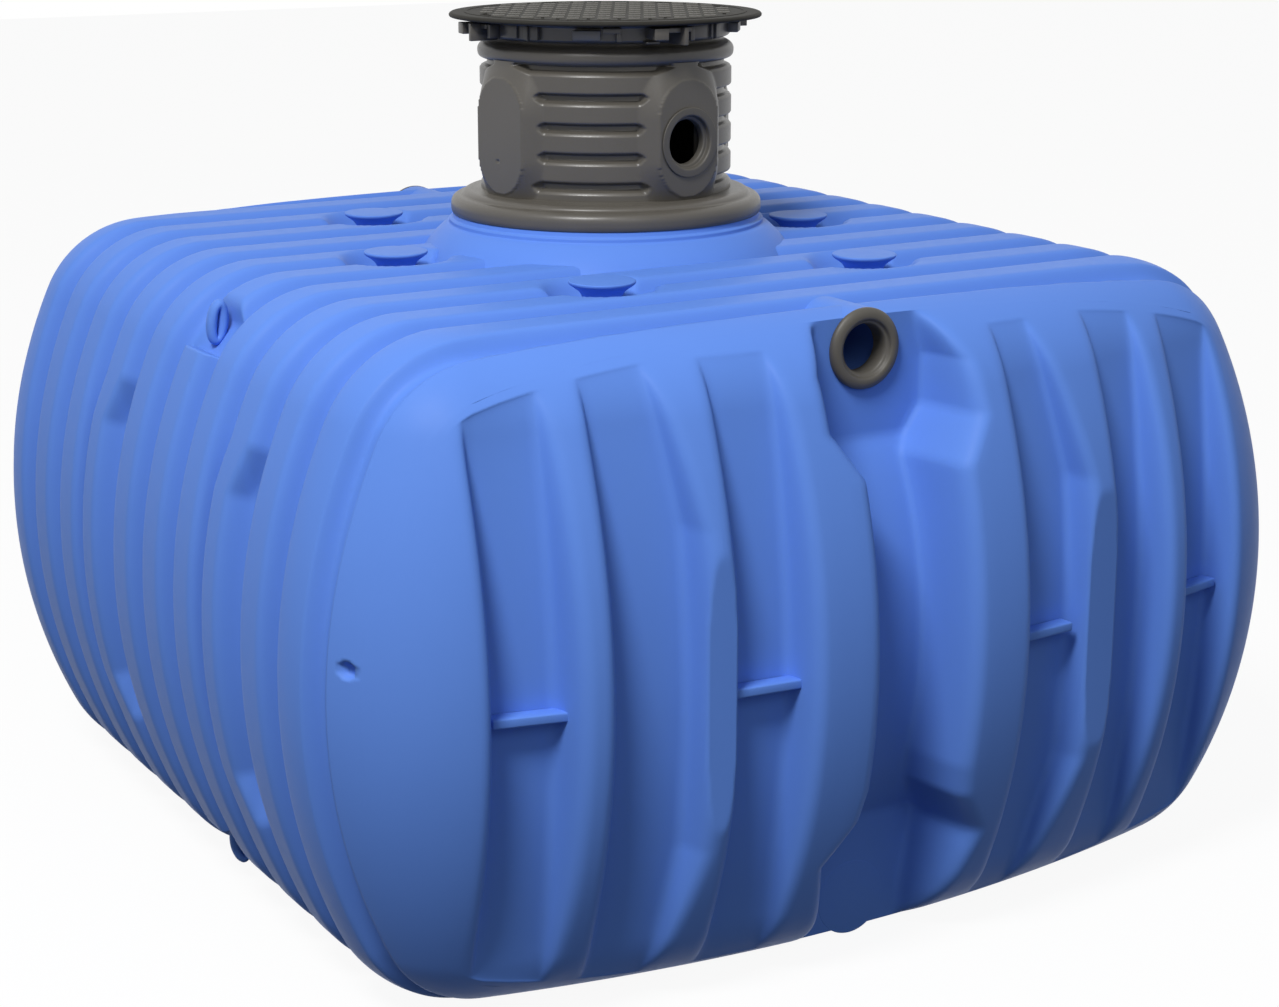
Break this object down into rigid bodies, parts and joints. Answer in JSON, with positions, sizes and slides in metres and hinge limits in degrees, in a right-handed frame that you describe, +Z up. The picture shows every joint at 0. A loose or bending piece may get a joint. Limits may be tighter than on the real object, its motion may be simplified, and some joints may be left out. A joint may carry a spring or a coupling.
{
  "type": "flat rainwater tank",
  "caption": "Flat underground rainwater tank with hooped walls, ribbed bulged ends, pipe seals at both ends and a ribbed access shaft under a round lid.",
  "frame": {"origin": "centre of the footprint, at the underside of the lowest hoops", "axes": "+X across the tank, +Y along it away from the inlet end, +Z up"},
  "size_m": [2.65, 2.8782, 2.1043],
  "materials": {
    "tank_plastic": "moulded blue polyethylene, soft satin",
    "shaft_plastic": "moulded dark grey plastic, satin",
    "lid_plastic": "dark grey plastic with a raised grip pattern",
    "seal_rubber": "dark rubber"
  },
  "bodies": {
    "tank": {"tank_roof": "tank_plastic", "tank_floor": "tank_plastic", "left_wall": "tank_plastic", "right_wall": "tank_plastic", "front_end_wall": "tank_plastic", "rear_end_wall": "tank_plastic", "front_left_corner": "tank_plastic", "front_right_corner": "tank_plastic", "rear_left_corner": "tank_plastic", "rear_right_corner": "tank_plastic", "roof_pads": "tank_plastic", "manhole_dome": "tank_plastic", "inlet_spigot": "tank_plastic", "overflow_spigot": "tank_plastic", "lifting_eyes": "tank_plastic", "front_ledges": "tank_plastic", "rear_ledges": "tank_plastic", "shaft_base_flange": "shaft_plastic", "access_shaft": "shaft_plastic", "shaft_head_ring": "shaft_plastic", "lid_frame": "shaft_plastic", "lid_brackets": "shaft_plastic", "lid_latches": "shaft_plastic", "inlet_seal": "seal_rubber", "overflow_seal": "seal_rubber", "shaft_seal": "seal_rubber"},
    "lid": {"lid": "lid_plastic"}
  },
  "joints": [
    {"name": "lid_lift", "type": "slide", "parent": "tank", "child": "lid", "axis": [0, 0, 1], "range_m": [0, 0.3]}
  ]
}
